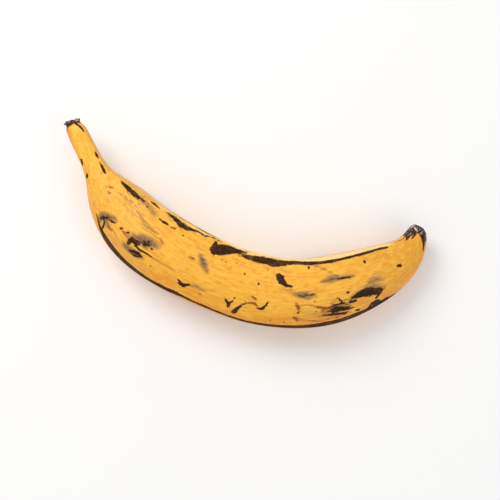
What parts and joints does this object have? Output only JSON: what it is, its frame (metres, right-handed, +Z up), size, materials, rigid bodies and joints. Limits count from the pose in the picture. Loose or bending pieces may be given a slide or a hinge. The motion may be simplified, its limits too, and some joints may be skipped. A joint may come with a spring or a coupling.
{
  "type": "plantain",
  "caption": "Ripe plantain lying on its side: long curved fruit with blunt ridges, a cut stem and a dry blossom tip.",
  "frame": {"origin": "on the surface that the fruit lies on, under the middle of the box round it", "axes": "+X from the cut stem towards the blossom tip, along the chord of the bend; +Y towards the hollow side of the bend; +Z up, square to the plane of the bend"},
  "size_m": [0.2628, 0.1006, 0.0459],
  "materials": {
    "peel": "satin yellow-orange peel with fine grain, black and brown ripening marks, a brown cut stem and a black dry tip"
  },
  "bodies": {
    "root": {"plantain": "peel"}
  },
  "joints": []
}
